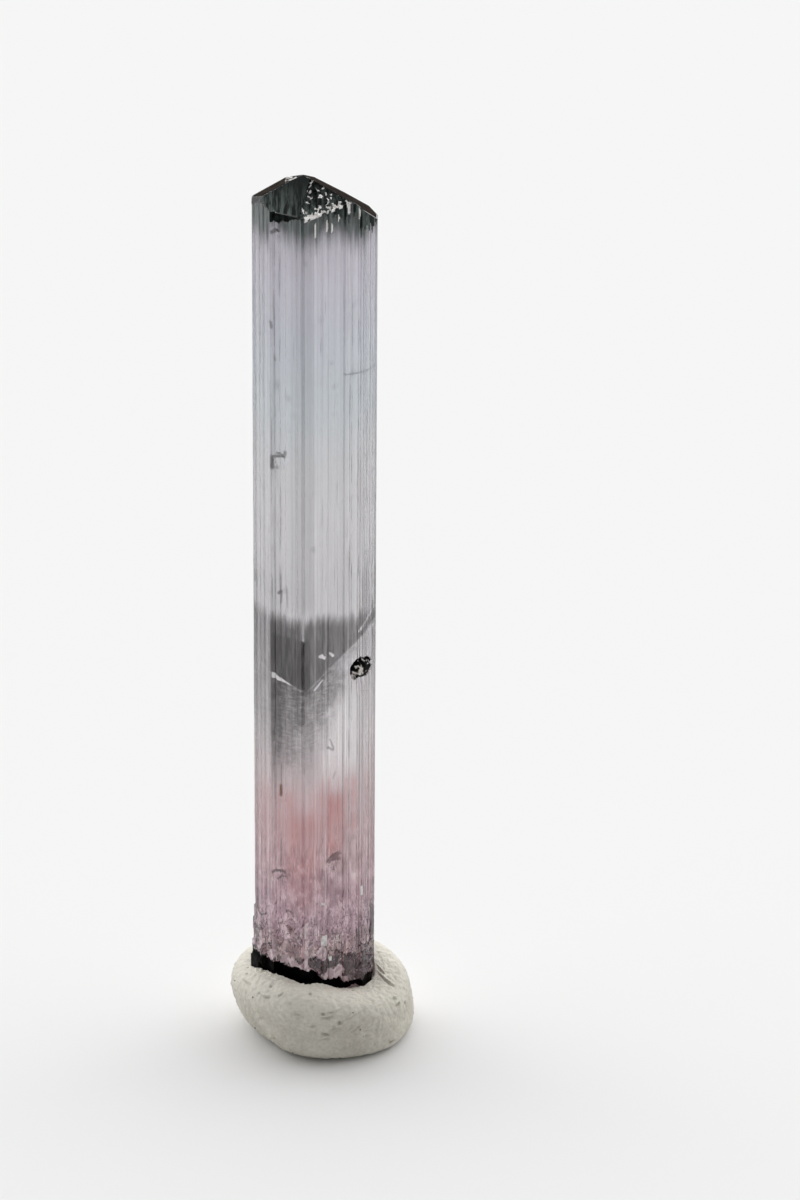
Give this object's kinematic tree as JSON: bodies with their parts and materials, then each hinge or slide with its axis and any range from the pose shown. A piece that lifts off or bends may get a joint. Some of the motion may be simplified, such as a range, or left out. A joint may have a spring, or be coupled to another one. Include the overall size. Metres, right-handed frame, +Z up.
{
  "type": "tourmaline crystal",
  "caption": "Tall striated tourmaline prism with a low dark pyramid on top, colour-zoned from rose to grey-blue, standing upright in a pressed lump of putty.",
  "frame": {"origin": "on the surface that the putty foot stands on, under the crystal's long axis", "axes": "+Z up along the crystal's long axis, -Y towards the crystal's front edge, +X to the right of it"},
  "size_m": [0.0116, 0.0107, 0.0569],
  "materials": {
    "tourmaline": "glossy, finely striated, clear with colour zones",
    "putty": "matte, pressed by hand"
  },
  "bodies": {
    "root": {"crystal": "tourmaline", "putty_foot": "putty"}
  },
  "joints": []
}
